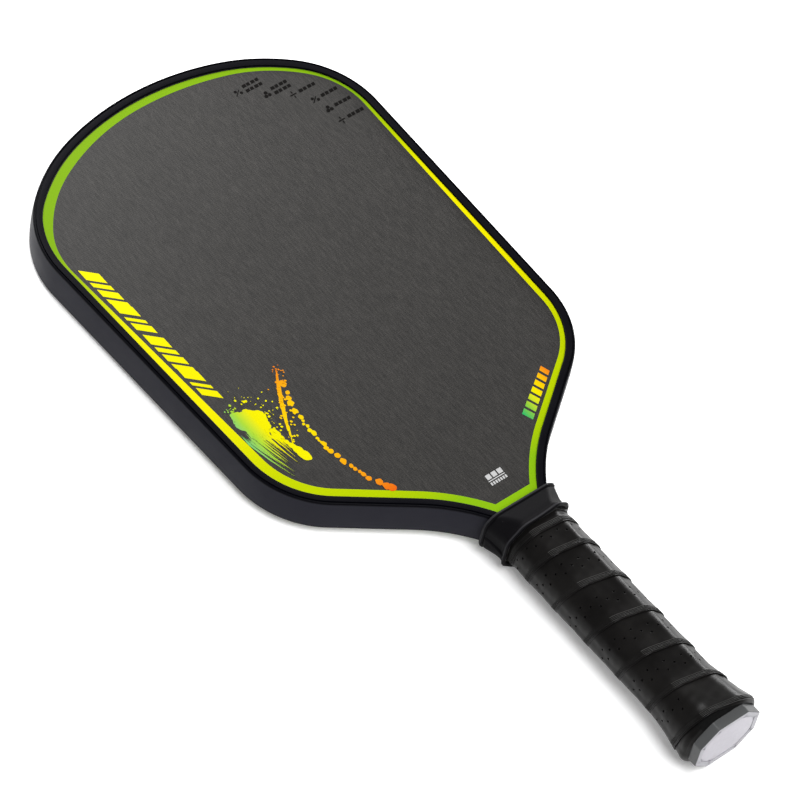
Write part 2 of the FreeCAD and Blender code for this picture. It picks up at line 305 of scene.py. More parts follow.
def bump(tree, height, distance, strength):
    node = add_node(tree, "Bump", Strength=strength, Distance=distance)
    tree.links.new(height, node.inputs["Height"])
    feed(tree, "Normal", node.outputs["Normal"])


def mix_colour(tree, blend, factor, first, second):
    node = add_node(tree, "Mix", data_type="RGBA", blend_type=blend)
    # A colour mix takes its factor at input 0 and its colours at 6 and 7.
    for index, value in ((0, factor), (6, first), (7, second)):
        socket = node.inputs[index]
        if isinstance(value, bpy.types.NodeSocket):
            tree.links.new(value, socket)
        elif isinstance(value, (int, float)):
            socket.default_value = value
        else:
            socket.default_value = (*value, 1.0)
    return node.outputs[2]


def multiplied(tree, tone, factor):
    return mix_colour(tree, "MULTIPLY", 1.0, tone, factor)


def srgb(red, green, blue):
    """A display colour from 0 to 255 as linear light."""
    def linear(value):
        value /= 255
        return value / 12.92 if value <= 0.04045 else ((value + 0.055) / 1.055) ** 2.4
    return (linear(red), linear(green), linear(blue))


def carbon_material():
    """Raw carbon: short lengthwise fibre streaks and a fine woven peel-ply texture."""
    material, tree = new_material("raw_carbon", 0.5, Specular_IOR_Level=0.17)
    fibres = noise(tree, 1600.0, 2.0, 0.6, stretch=(1.0, 0.1, 1.0))
    specks = noise(tree, 1900.0, 1.0)
    clouds = noise(tree, 45.0, 3.0)
    tone = ramp(tree, fibres, [(0.34, (0.0104, 0.0097, 0.0089)), (0.68, (0.0224, 0.0209, 0.0193))])
    tone = multiplied(tree, tone, ramp(tree, specks, [(0.3, 0.62), (0.72, 1.45)]))
    tone = multiplied(tree, tone, noise_ramp(tree, clouds, 0.94, 1.06))
    weave = None
    for angle in (0.0, 90.0):
        wave = add_node(tree, "TexWave", Scale=330.0, Distortion=1.2, Detail=1.0)
        tree.links.new(place(tree, rotation=(0, 0, angle)), wave.inputs["Vector"])
        height = wave.outputs["Fac"]
        weave = height if weave is None else math_node(tree, "MAXIMUM", weave, height)
    tone = multiplied(tree, tone, ramp(tree, weave, [(0.2, 0.84), (1.0, 1.06)]))
    feed(tree, "Base Color", tone)
    height = math_node(tree, "ADD", weave, math_node(tree, "MULTIPLY", specks, 0.6))
    bump(tree, height, 0.00003, 0.6)
    return material


# One black plastic as lit and shaded copies: a lighter wall tone, and a lip tone with painted
# shade.
GUARD_WALL_LIT_TONE = (0.0140, 0.0140, 0.0195)
GUARD_LIP_SHADED_TONE = (0.0014, 0.0014, 0.0026)


def guard_material():
    """Satin black extruded plastic in two tones by height: the lips carry painted shade, darker
    than the wall.
    """
    material, tree = new_material("guard_plastic", 0.42, Specular_IOR_Level=0.035)
    split = add_node(tree, "SeparateXYZ")
    tree.links.new(place(tree), split.inputs[0])
    height = math_node(tree, "ABSOLUTE", split.outputs["Z"], 0.0)
    # Painted shade: faces from the carbon face's height up, the lips, take the darker tone.
    shaded_lip_mask = map_range(tree, height, (FACE_Z - 0.2) * MM, (FACE_Z + 0.4) * MM)
    tone = mix_colour(tree, "MIX", shaded_lip_mask, GUARD_WALL_LIT_TONE, GUARD_LIP_SHADED_TONE)
    feed(tree, "Base Color", tone)
    vary_roughness(tree, noise(tree, 90.0, 3.0), 0.38, 0.46)
    bump(tree, noise(tree, 1800.0), 0.00001, 0.5)
    return material


def rubber_material(name, plain, dusty):
    """Matte silicone rubber with light dust specks."""
    material, tree = new_material(name, 0.5, Specular_IOR_Level=0.03)
    specks = add_node(tree, "TexVoronoi", Scale=520.0, Randomness=1.0)
    tree.links.new(place(tree), specks.inputs["Vector"])
    patches = noise(tree, 260.0)
    dust = ramp(tree, specks.outputs["Distance"], [(0.0, 1.0), (0.16, 0.0)])
    dust = math_node(tree, "MULTIPLY", dust, map_range(tree, patches, 0.56, 0.66))
    colour = mix_colour(tree, "MIX", dust, plain, dusty)
    feed(tree, "Base Color", colour)
    bump(tree, noise(tree, 1500.0), 0.00002, 0.5)
    return material


def grip_material(name, dark, light, roughness, specular):
    """Soft black polyurethane with a fine leather-like grain."""
    material, tree = new_material(name, roughness, Specular_IOR_Level=specular)
    patches = noise(tree, 70.0, 3.0)
    feed(tree, "Base Color", noise_ramp(tree, patches, dark, light))
    vary_roughness(tree, patches, roughness - 0.05, roughness + 0.07)
    bump(tree, noise(tree, 2200.0), 0.00002, 0.6)
    return material


def foam_and_shade_material():
    """Dark foam at the grip strip's cut edge and inside its perforations; the same dark is painted
    as shade on alternate rib faces and over the strip's tapered start.
    """
    material, tree = new_material("grip_cut_foam_and_painted_shade", 0.9, Specular_IOR_Level=0.1)
    cells = noise(tree, 3000.0)
    feed(tree, "Base Color", noise_ramp(tree, cells, 0.001, 0.004))
    return material


def cap_material(name, colour):
    material, tree = new_material(name, CAP_ROUGHNESS, colour, Specular_IOR_Level=0.25)
    grain = noise(tree, 1200.0)
    vary_roughness(tree, grain, CAP_ROUGHNESS - 0.06, CAP_ROUGHNESS + 0.06)
    bump(tree, grain, 0.000015, 0.5)
    return material


def badge_material():
    """Smooth domed vinyl in pale lilac grey."""
    material, tree = new_material("badge_vinyl", 0.35, Coat_Weight=0.1)
    colour = noise_ramp(tree, noise(tree, 500.0), srgb(153, 150, 158), srgb(159, 156, 164))
    feed(tree, "Base Color", colour)
    return material


# Print colours: place along the paddle, or across it for the flank bars and the splash, and
# display colour.
STRIPE_COLOURS = [
    (157, (144, 195, 20)), (166, (168, 203, 6)), (178, (186, 210, 0)),
    (208, (199, 216, 0)), (238, (232, 229, 0)), (256, (243, 234, 0)),
    (288, (243, 234, 0)), (314, (226, 226, 0)), (336, (176, 200, 0)),
    (360, (126, 170, 16)),
]
SIDE_BAR_COLOURS = [(240, (240, 233, 0)), (350, (246, 238, 0))]
FLANK_BAR_COLOURS = [
    (33, (40, 182, 104)), (38, (140, 202, 62)), (45, (240, 232, 0)),
    (51, (252, 205, 0)), (57, (244, 145, 24)), (61, (236, 104, 24)),
]
SPLASH_COLOURS = [
    (-80, (120, 200, 120)), (-75, (168, 214, 60)),
    (-69, (240, 233, 0)), (-60, (246, 238, 0)),
]
DRIP_COLOURS = [
    (176, (238, 100, 20)), (186, (245, 150, 22)), (205, (250, 180, 10)),
    (222, (246, 225, 0)), (240, (252, 196, 8)), (258, (242, 132, 26)),
]
WHITE_INK = [(150, (205, 205, 205)), (165, (210, 210, 210))]
BLACK_INK = [(340, (24, 23, 22)), (400, (20, 19, 18))]
# The share of an ink's display colour that its surface reflects under these lights.
INK_GAIN = 0.58


def ink_material(name, stops, axis=1):
    """Screen printed ink whose colour runs along one axis."""
    material, tree = new_material(name, 0.35, Specular_IOR_Level=0.02)
    low, high = stops[0][0], stops[-1][0]
    split = add_node(tree, "SeparateXYZ")
    tree.links.new(place(tree), split.inputs[0])
    along = map_range(tree, split.outputs[axis], low * MM, high * MM)
    table = [
        ((at - low) / (high - low), tuple(INK_GAIN * value for value in srgb(*colour)))
        for at, colour in stops
    ]
    colour = ramp(tree, along, table)
    speckle = noise_ramp(tree, noise(tree, 1500.0), 0.94, 1.0)
    feed(tree, "Base Color", multiplied(tree, colour, speckle))
    return material


def plain_material(name, low, high, roughness):
    """A material for hidden layers: a noise between two colours."""
    material, tree = new_material(name, roughness)
    colour = ramp(tree, noise(tree, 400.0), [(0.35, low), (0.65, high)])
    feed(tree, "Base Color", colour)
    return material


# ---- edge guard ----
def quarter_turn(centre, reach, steps):
    """Points on a quarter ellipse about centre, from its -x end up to its +z end."""
    turns = [radians(90 * step / steps) for step in range(1, steps + 1)]
    return [(centre[0] - reach[0] * cos(turn), centre[1] + reach[1] * sin(turn)) for turn in turns]


def guard_section():
    """Closed (inset, z) loop of the guard's U, from the outer crest over the front lip."""
    shoulder_z = GUARD_HALF - SHOULDER_DROP
    crest = [(WALL_CROWN * (t / 10) ** 2, shoulder_z * t / 10) for t in range(11)]
    shoulder_reach = (GROOVE_INSET - WALL_CROWN, SHOULDER_DROP)
    shoulder = quarter_turn((GROOVE_INSET, shoulder_z), shoulder_reach, 6)
    inner = GROOVE_INSET + GROOVE_WIDTH
    floor_z = GUARD_HALF - GROOVE_DEPTH
    groove = [
        (GROOVE_INSET + GROOVE_SLOPE, floor_z),
        (inner - GROOVE_SLOPE, floor_z),
        (inner, GUARD_HALF - GROOVE_SLOPE),
        (inner + GROOVE_SLOPE, GUARD_HALF),
    ]
    lip_start = LIP_WIDTH - LIP_ROUND
    lip = [(lip_start, GUARD_HALF)]
    for x, z in quarter_turn((0.0, 0.0), (LIP_ROUND, LIP_ROUND), 4)[:-1][::-1]:
        lip.append((lip_start - x, GUARD_HALF - LIP_ROUND + z))
    lip.append((LIP_WIDTH, GUARD_HALF - LIP_ROUND))
    foot = [(LIP_WIDTH, FACE_Z), (GUARD_WALL, FACE_Z)]
    upper = crest + shoulder + groove + lip + foot
    lower = [(x, -z) for x, z in upper[:0:-1]]
    return np.array(upper + lower)


def edge_guard(material):
    section = guard_section()
    points, normals = guard_half(0.0, NECK_Y)
    path = both_halves(points, points)
    inward = both_halves(normals, normals)
    rings = path[:, None] + section[:, :1] * inward[:, None]
    depths = np.broadcast_to(section[:, 1:], (*rings.shape[:2], 1))
    points = np.concatenate([rings, depths], 2).reshape(-1, 3)
    count = len(section)
    faces = grid_faces(len(rings), count, close_columns=True)
    faces.append(tuple(range(count)))
    faces.append(tuple(range(len(points) - 1, len(points) - count - 1, -1)))
    guard = new_piece("edge_guard_moulding", points, faces, [material], sharp_angle=40)
    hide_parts("edge_guard")


# ---- print on the faces ----
PRINT_THICKNESS = 0.04
PRINT_SINK = 0.02
# How far the border runs under the guard's lip.
BORDER_TUCK = 0.1
STRIPE_TOP = 407.6
STRIPE_BAR_Y = (140.4, 146.3)
# Bare carbon left between the lip and the stripe round the crown.
CROWN_GAP = 0.7
CROWN_GAP_START = 372.0
CROWN_GAP_FADE = 22.0
# Radius and end heading of each inner arc, the straight lengths between them and the throat radius.
STRIPE_RIGHT = ((154.0, 16.0), (77.0, 44.6), (38.3, 91.9), 132.7, (37.0, 145.1), 38.5, 101.1)
STRIPE_LEFT = ((118.3, 27.5), (70.8, 54.7), (37.5, 93.1), 126.9, (39.3, 144.5), 36.4, 102.8)


def stripe(name, material, side):
    """The printed border between the guard's lip and the bare carbon, closed by the throat bar."""
    outer_half = guard_half(LIP_WIDTH - BORDER_TUCK, STRIPE_BAR_Y[0])[0]
    rise = (outer_half[:, 1] - CROWN_GAP_START) / CROWN_GAP_FADE
    outer_half[:, 1] -= CROWN_GAP * np.clip(rise, 0.0, 1.0)
    outer = both_halves(outer_half, outer_half)
    inner = both_halves(*(
        half_head(STRIPE_TOP, *sizes, STRIPE_BAR_Y[1])[0] for sizes in (STRIPE_RIGHT, STRIPE_LEFT)
    ))
    low, high = FACE_Z - PRINT_SINK, FACE_Z + PRINT_THICKNESS
    points = []
    for loop, z in ((outer, low), (inner, low), (inner, high), (outer, high)):
        points += [(x * side, y, side * z) for x, y in loop]
    faces = grid_faces(4, len(outer), close_rows=True, close_columns=True)
    return new_piece(name, points, faces, [material], sharp_angle=30)


# ---- generic marks on the front face ----
MARK_STEP = 0.002


def printed_marks(name, outlines, material):
    """Marks as thin prisms, each a hair higher than the one before, so none share a plane."""
    points = []
    faces = []
    for order, outline in enumerate(outlines):
        count = len(outline)
        start = len(points)
        for z in (FACE_Z - PRINT_SINK, FACE_Z + PRINT_THICKNESS + order * MARK_STEP):
            points += [(x, y, z) for x, y in outline]
        faces.append(tuple(start + i for i in range(count)))
        faces.append(tuple(start + count + i for i in range(count - 1, -1, -1)))
        for i in range(count):
            after = (i + 1) % count
            faces.append((start + after, start + i, start + count + i, start + count + after))
    return new_piece(name, points, faces, [material], sharp_angle=30)


def turned(x, y, offsets, angle):
    """Offsets turned anticlockwise by an angle in degrees, about a point at x, y."""
    turn = radians(angle)
    cosine, sine = cos(turn), sin(turn)
    return [(x + a * cosine - b * sine, y + a * sine + b * cosine) for a, b in offsets]


def block(x, y, along, across, lean=0.0, angle=0.0):
    """A clockwise parallelogram from its lower left corner; lean shifts its upper side."""
    corners = [(0.0, 0.0), (lean, across), (lean + along, across), (along, 0.0)]
    return turned(x, y, corners, angle)


def disc(x, y, radius, stretch=1.0, angle=0.0, rough=0.0, chance=None, count=20):
    """A clockwise round or oval drop with an uneven rim."""
    waves = [chance.uniform(-rough, rough) for _ in range(4)] if chance else []
    offsets = []
    for step in range(count):
        at = -2 * pi * step / count
        reach = radius * (1 + sum(size * sin(k * at) for k, size in enumerate(waves, 2)))
        offsets.append((reach * cos(at) * stretch, reach * sin(at)))
    return turned(x, y, offsets, angle)


SIDE_BAR_START = (-84.2, 342.0)
SIDE_BAR_DRIFT = 0.05
SIDE_BAR_ACROSS = 6.8
SIDE_BAR_FALL = 6.6
# One run of bars downwards: each bar's height and the step down to the next one.
SIDE_BAR_RUN = ((6.4, 4.9), (3.0, 6.5), (4.6, 4.9), (3.0, 6.5), (6.4, 4.9), (2.2, 6.5), (4.6, 9.9))


def side_bars(material):
    """Two runs of slanted bars beside the left border."""
    bars = []
    y = SIDE_BAR_START[1]
    for height, step in SIDE_BAR_RUN * 2:
        left = SIDE_BAR_START[0] + SIDE_BAR_DRIFT * (SIDE_BAR_START[1] - y)
        right = left + SIDE_BAR_ACROSS
        low = y - SIDE_BAR_FALL
        bars.append([(left, y), (left, y + height), (right, low + height), (right, low)])
        y -= step
    return printed_marks("side_bars", bars, material)


FLANK_BAR_START = (34.8, 172.2)
FLANK_BAR_ANGLE = 34.5
FLANK_BAR_LEAN = 1.2


def flank_bars(material):
    """Seven slanted bars of falling size along the lower right flank."""
    bars = []
    along = 0.0
    for step in range(7):
        (x, y), = turned(*FLANK_BAR_START, [(along, 0.0)], FLANK_BAR_ANGLE)
        width, height = 3.4 - 0.12 * step, 5.4 - 0.15 * step
        bars.append(block(x, y, width, height, FLANK_BAR_LEAN, FLANK_BAR_ANGLE))
        along += 4.65 - 0.1 * step
    return printed_marks("flank_bars", bars, material)


def approval_block(material):
    """A small plain block above the throat: three bars, a ruled line and a row of ticks."""
    marks = [block(-3.6 + 3.2 * step, 158.0, 2.5, 2.6, 0.2) for step in range(3)]
    marks.append(block(-3.9, 156.9, 9.2, 0.5))
    marks += [block(-3.9 + 1.35 * step, 154.7, 0.9, 1.6, 0.15) for step in range(7)]
    return printed_marks("approval_block", marks, material)


# Each pictogram's centre and its number of dash rows.
PICTOGRAMS = (
    (41.2, 390.6, 2), (51.7, 382.6, 2), (62.0, 375.9, 1),
    (69.0, 368.3, 1), (70.8, 360.5, 1), (71.6, 352.0, 1),
)
DASH_HEIGHT = 1.75
DASH_PITCH = 2.5


def pictogram(kind, x, y):
    """Two drops over a slash, three drops, or a broken cross."""
    if kind == 0:
        drops = [disc(x - 1.1, y + 0.9, 0.8), disc(x + 1.1, y - 0.9, 0.8)]
        return drops + [block(x - 1.9, y - 1.7, 4.2, 0.5, 0, 40)]
    if kind == 1:
        return [disc(x + a, y + b, 0.95) for a, b in ((-1.0, -0.8), (1.0, -0.8), (0.0, 1.0))]
    uprights = [block(x - 0.3, y + low, 0.6, 1.3) for low in (0.8, -2.1)]
    return [block(x - 1.8, y - 0.3, 3.6, 0.6)] + uprights


def spec_marks(material):
    """Six small pictograms of plain shapes, each with one or two rows of dashes."""
    marks = []
    for order, (x, y, lines) in enumerate(PICTOGRAMS):
        marks += pictogram(order % 3, x, y)
        for line in range(lines):
            low = y - 0.75 + (1.5 if line == 0 else -1.5) * (lines - 1)
            for step in range(4):
                width = 2.05 - 0.3 * (step % 2)
                marks.append(block(x + 3.4 + DASH_PITCH * step, low, width, DASH_HEIGHT, 0.25))
    return printed_marks("spec_marks", marks, material)


SPLASH_RIM_POINTS = 72
BRUSH_STROKES = 26
SPLASH_DROPLETS = 90
# The run of drips under the splash: x, y and radius.
SPLASH_DRIPS = (
    (-66.2, 229.6, 1.8), (-65.7, 226.3, 1.25), (-65.0, 223.2, 1.0),
    (-64.2, 220.2, 1.3), (-63.4, 216.6, 1.9), (-62.8, 213.4, 2.2),
)


def splash(material):
    """A paint splash at the lower left: a blob, a dry brushed tail, drips and droplets."""
    chance = random.Random(7)
    blob = []
    for step in range(SPLASH_RIM_POINTS):
        at = -2 * pi * step / SPLASH_RIM_POINTS
        reach = 7.6 + 0.9 * sin(3 * at + 1) + 0.5 * sin(7 * at) + chance.uniform(-0.35, 0.35)
        across, along = reach * cos(at) * 0.92, reach * sin(at) * 1.25
        blob.append((-71.3 + across - 0.12 * along, 239.0 + along))
    marks = [blob]
    for step in range(BRUSH_STROKES):
        share = step / (BRUSH_STROKES - 1)
        x = -79.6 + 12.2 * share
        start = 236.0 - 5.0 * share + chance.uniform(-2, 3)
        length = (31.0 - 14.0 * share) * chance.uniform(0.5, 1.0)
        width = chance.uniform(0.18, 0.55)
        drift = length * (0.20 - 0.10 * share)
        bend = chance.uniform(-0.3, 0.2)
        middle = x + 0.4 * drift + bend
        shoulder, waist = start - 0.2 * length, start - 0.6 * length
        marks.append([
            (x, start), (x + width, shoulder), (middle + width, waist),
            (x + drift, start - length), (middle, waist), (x - width, shoulder),
        ])
    for x, y, radius in SPLASH_DRIPS:
        marks.append(disc(x, y, radius, 1.7, -78, 0.06, chance))
    for _ in range(SPLASH_DROPLETS):
        angle = chance.uniform(-70, 200)
        away = 8.4 + abs(chance.gauss(0.0, 3.0))
        x = -70.5 + away * 0.9 * cos(radians(angle))
        y = 240.0 + away * 1.2 * sin(radians(angle))
        if x > -79.0 + 0.04 * (260.0 - y):
            radius = 0.12 + 0.5 * chance.random() ** 2
            marks.append(disc(x, y, radius, 1.2, angle, 0.1, chance, 12))
    return printed_marks("paint_splash", marks, material)


FLICK_STEPS = 24
CHAIN_TOP = 249.0
CHAIN_END = 179.0
TRAIL_SPECKS = 64


def drip_trail(material):
    """A thin flick of paint and a curved chain of round drops, with specks beside them."""
    chance = random.Random(21)
    spine = []
    for step in range(FLICK_STEPS + 1):
        share = step / FLICK_STEPS
        x = -44.3 - 19.5 * share - 1.0 * sin(pi * share)
        spine.append((share, x, 256.5 - 37.0 * share))
    flick = []
    for side, stations in ((1, spine), (-1, spine[::-1])):
        for share, x, y in stations:
            width = 0.25 + 0.85 * sin(pi * min(1.0, 1.15 * share))
            width += chance.uniform(-0.2, 0.3)
            flick.append((x + side * max(width, 0.15), y))
    marks = [flick]
    y = CHAIN_TOP
    while y > CHAIN_END:
        share = (CHAIN_TOP - y) / 71.0
        radius = chance.uniform(0.75, 1.75) * (1.0 - 0.25 * sin(pi * share))
        x = -52.4 + 0.0063 * (y - 219.0) ** 2 + chance.gauss(0.0, 0.35)
        marks.append(disc(x, y, radius, chance.uniform(1.0, 1.35), -85, 0.08, chance))
        y -= radius * chance.uniform(1.7, 3.2)
    marks.append(disc(-41.6, 178.6, 1.9, 1.15, -60, 0.06, chance))
    for _ in range(TRAIL_SPECKS):
        _, x, y = spine[int(chance.random() ** 1.2 * FLICK_STEPS)]
        x += chance.gauss(0.5, 1.9)
        y += chance.uniform(-3, 3)
        marks.append(disc(x, y, chance.uniform(0.14, 0.55), 1.3, -60, 0.1, chance, 12))
    return printed_marks("paint_drips", marks, material)


# ---- handle sections ----
def octagon_ring(half_width, half_depth, chamfer, radius, flat_steps, arc_steps):
    """Points and outward normals (x, z) round an octagon with round corners.

    The ring starts at the front face's right corner and runs over the front to the left.
    """
    inner_x = half_width - chamfer[0]
    inner_z = half_depth - chamfer[1]
    half = [(inner_x, half_depth), (-inner_x, half_depth)]
    half += [(-half_width, inner_z), (-half_width, -inner_z)]
    corners = np.array(half + [(-x, -z) for x, z in half])
    edges = np.roll(corners, -1, 0) - corners
    edges /= np.linalg.norm(edges, axis=1)[:, None]
    outward = np.stack([edges[:, 1], -edges[:, 0]], 1)
    points = []
    normals = []
    for i in range(8):
        before, after = outward[i - 1], outward[i]
        centre = corners[i] - radius * (before + after) / (1 + before @ after)
        start = atan2(before[1], before[0])
        turn = acos(before @ after)
        for step in range(arc_steps + 1):
            angle = start + turn * step / arc_steps
            normal = np.array([cos(angle), sin(angle)])
            points.append(centre + radius * normal)
            normals.append(normal)
        follow = outward[(i + 1) % 8]
        corner = corners[(i + 1) % 8]
        next_start = corner - radius * (after + follow) / (1 + after @ follow) + radius * after
        for step in range(1, flat_steps):
            share = step / flat_steps
            points.append(points[-step] * (1 - share) + next_start * share)
            normals.append(after)
    return np.array(points), np.array(normals)


def ring_at(xz, y):
    return np.stack([xz[:, 0], np.broadcast_to(y, len(xz)), xz[:, 1]], 1)


class HandleRing:
    """The grip's octagon by arc length from the middle of its front right corner."""

    def __init__(self, arc_steps=12):
        points, normals = octagon_ring(
            GRIP_HALF_WIDTH, GRIP_HALF_DEPTH, GRIP_CHAMFER, GRIP_CORNER_RADIUS, 12, arc_steps
        )
        self.points = np.vstack([points, points[:1]])
        self.normals = np.vstack([normals, normals[:1]])
        steps = np.linalg.norm(np.diff(self.points, axis=0), axis=1)
        self.lengths = np.r_[0.0, np.cumsum(steps)]
        self.perimeter = self.lengths[-1]
        self.corner = self.lengths[arc_steps // 2]

    def at(self, distance):
        """Point and normal arrays at distances along the ring."""
        place_on = (np.asarray(distance) + self.corner) % self.perimeter
        point, normal = (
            np.stack([np.interp(place_on, self.lengths, values[:, k]) for k in (0, 1)], -1)
            for values in (self.points, self.normals)
        )
        return point, normal / np.linalg.norm(normal, axis=-1)[..., None]


# ---- grip: one perforated strip wound from the butt to the collar ----
# Where the strip's lower edge crosses the front right corner, one value a turn; the first turn
# starts as a taper along the rim and the last one ends under the collar.
SEAM_Y = [RIM_Y, RIM_Y, 23.5, 43.4, 63.9, 85.8, 106.3, 120.3, 127.0]
STRIP_WIDTH = 24.6
STRIP_END_Y = GRIP_TOP_Y + GRIP_END_TUCK
# The width that goes on under the next turn, and the thickness left there.
HIDDEN_WIDTH = 4.2
HIDDEN_THICKNESS = 0.3
LAP_THICKNESS = 0.35
# The grid's columns, and the fine columns to each of them on the ribbed band.
COLUMNS_A_TURN = 142
FINE = 5
# Ribs: fine columns to each, depth, the shares cut across and along, and columns of fade-in.
RIB_PERIOD = 4
RIB_HEIGHT = 0.3
RIB_ACROSS = 0.45
RIB_ALONG = 0.55
RIB_FADE = 6
FIELD_HEIGHT = -0.12
OVERLAP_STEP = 0.55
OVERLAP_FADE = 5.0
# Shares of a turn, from the front right corner over the front: the left of the grip lies flatter,
# and there the ribbed band keeps the plain skin, without its painted highlight.
FLAT_SIDE_START = 0.17
FLAT_SIDE_END = 0.62
WORN_FADE = 0.1
WORN_STEP = 0.26
# The strip's tapered start: its columns, which carry painted shade in the dark foam tone, how deep
# it lies and how fast it comes up.
TAIL_SHADE_CELLS = 30
TAIL_SINK = 0.4
TAIL_RISE = 8
# The perforations, in rows and columns of the grid.
HOLE_CENTRE = 12.3
HOLE_ROW = 0.783
HOLE_START = HOLE_CENTRE - 6 * HOLE_ROW
HOLE_END = HOLE_CENTRE + 6 * HOLE_ROW
HOLE_ROWS_A_STEP = 3
HOLE_COLUMN_STEP = 5
HOLE_PERIOD = 12
HOLE_RADIUS = 0.55
HOLE_DEPTH = 0.9
FIRST_HOLE_COLUMN = 24
LAST_HOLE_TURN = 5.9
LAST_WIDE_TURN = 5.45
HOLE_PHASE = 4
BAND_END = 3.8
BAND_ROWS = (0.9, 1.2, 1.55, 1.9, 2.25, 2.6, 2.95, 3.3)
# Distance from the strip's lower edge and height of the rows of that edge and its two fine lines.
EDGE_ROWS = ((0.0, -0.4), (0.12, 0.0), (0.4, -0.12), (0.6, 0.0), (0.85, -0.12))
UNDER_ROWS = (STRIP_WIDTH, 14.0, 8.0, 5.5, 4.0, 2.0, 0.9, 0.3)


def flare_outset(y):
    """The wrap's outset over the plain octagon, smoothed between the flare's stations."""
    fine = np.arange(0.0, 145.0, 0.1)
    stations = np.array(FLARE)
    values = np.interp(fine, *stations.T)
    window = np.hanning(31)
    smooth = np.convolve(np.pad(values, 15, mode="edge"), window / window.sum(), mode="valid")
    return np.interp(y, fine, smooth)


def soft_step(value):
    value = np.clip(value, 0.0, 1.0)
    return value * value * (3 - 2 * value)


def seam_y(turns):
    return np.interp(turns, np.arange(-1, len(SEAM_Y) - 1), SEAM_Y)


def strip_rows():
    """Each top row's distance from the strip's lower edge, height and whether it is ribbed."""
    rows = [(v, height, False) for v, height in EDGE_ROWS]
    rows += [(v, 0.0, True) for v in BAND_ROWS]
    plain = list(np.linspace(BAND_END, HOLE_START, 6)[:-1])
    plain += list(np.linspace(HOLE_START, HOLE_END, 13))
    plain += list(np.linspace(HOLE_END, STRIP_WIDTH, 9)[1:])
    return rows + [(v, 0.0, False) for v in plain]


class Strip:
    """The wound strip as a closed grid: rows over its top and back under it, columns along it."""

    def __init__(self):
        ring = HandleRing()
        self.rows = strip_rows()
        self.turns_total = len(SEAM_Y) - 1
        self.cells = COLUMNS_A_TURN * self.turns_total
        self.turns = np.arange(self.cells * FINE + 1) / (COLUMNS_A_TURN * FINE) - 1.0
        self.edge = seam_y(self.turns)
        after = seam_y(self.turns + 1)
        next_edge = np.where(self.turns <= self.turns_total - 2, after, self.edge + STRIP_WIDTH)
        self.exposed = next_edge - self.edge
        width = np.minimum(STRIP_WIDTH, self.exposed + HIDDEN_WIDTH)
        self.width = np.minimum(width, STRIP_END_Y - self.edge)
        self.base, self.normal = ring.at(self.turns * ring.perimeter)
        self.sink = TAIL_SINK * soft_step(-TAIL_RISE * self.turns)
        self.points = []
        self.index = []
        for v, height, ribbed in self.rows:
            self.add_row(v, self.top_height(v, ribbed) + height, 1 if ribbed else FINE)
        for v in UNDER_ROWS:
            self.add_row(v, self.under_height(v), FINE)

    def spread(self, v):
        """A row's distance from the edge, squeezed where the strip is narrower than elsewhere."""
        squeezed_end = np.minimum(HOLE_END, 0.9 * self.width)
        band = np.minimum(BAND_END, 0.5 * self.width)
        if v <= BAND_END:
            return v * band / BAND_END
        if v <= HOLE_END:
            return band + (v - BAND_END) / (HOLE_END - BAND_END) * (squeezed_end - band)
        share = (v - HOLE_END) / (STRIP_WIDTH - HOLE_END)
        return squeezed_end + share * (self.width - squeezed_end)

    def top_height(self, v, ribbed):
        """Height of the outer surface over the plain octagon."""
        spread = self.spread(v)
        phase = 2 * pi * self.turns
        height = FIELD_HEIGHT + flare_outset(self.edge + spread)
        share = self.turns % 1.0
        flagged = soft_step((share - FLAT_SIDE_START) / WORN_FADE)
        flagged *= soft_step((FLAT_SIDE_END - share) / WORN_FADE)
        height += (OVERLAP_STEP - WORN_STEP * flagged) * np.exp(-((v / OVERLAP_FADE) ** 2))
        # Slight unevenness from winding by hand.
        height += 0.05 * np.sin(7 * phase + 0.9 * v) * np.sin(0.35 * v + 3 * phase)
        height += 0.04 * np.sin(19 * phase + 1.3) * np.sin(0.21 * v)
        height -= self.sink
        hidden = soft_step((spread - self.exposed) / np.maximum(self.width - self.exposed, 0.1))
        height -= (GRIP_THICKNESS - HIDDEN_THICKNESS) * hidden
        if ribbed and BAND_ROWS[0] < v < BAND_ROWS[-1]:
            wave = 0.5 + 0.5 * np.cos(2 * pi * np.arange(len(self.edge)) / RIB_PERIOD)
            depth = RIB_ACROSS * wave + (RIB_ALONG if BAND_ROWS.index(v) % 2 else 0.0)
            height -= RIB_HEIGHT * depth * soft_step(1 + self.turns * COLUMNS_A_TURN / RIB_FADE)
        return height

    def under_height(self, v):
        """Height of the underside, which rises where it lies on the turn before."""
        overlap = np.maximum(self.width - self.exposed, 1.0)
        covered = soft_step(1.0 - v / overlap)
        plain = flare_outset(self.edge + self.spread(v)) - GRIP_THICKNESS - self.sink
        return plain + covered * (GRIP_THICKNESS - LAP_THICKNESS)

    def add_row(self, v, height, step):
        row = ring_at(self.base + self.normal * height[:, None], self.edge + self.spread(v))
        self.index.append((len(self.points), step))
        self.points += row[::step].tolist()

    def vertex(self, row, column):
        start, step = self.index[row]
        return start + column * (FINE // step)

    def span(self, row, cell):
        """Vertices of a row over one cell, left to right."""
        return list(range(self.vertex(row, cell), self.vertex(row, cell + 1) + 1))

    def holes(self):
        """Column and row of each perforation: slanted threes along the strip's middle."""
        middle = next(i for i, row in enumerate(self.rows) if abs(row[0] - HOLE_CENTRE) < 0.01)
        narrow = self.width < HOLE_END
        for group in range(0, self.cells, HOLE_PERIOD):
            for k in range(3):
                column = group + HOLE_PHASE + HOLE_COLUMN_STEP * k
                turn = column / COLUMNS_A_TURN - 1.0
                if turn > LAST_HOLE_TURN:
                    return
                squeezed = turn > LAST_WIDE_TURN and narrow[column * FINE]
                if column >= COLUMNS_A_TURN + FIRST_HOLE_COLUMN and not squeezed:
                    yield column, middle + HOLE_ROWS_A_STEP * (k - 1)


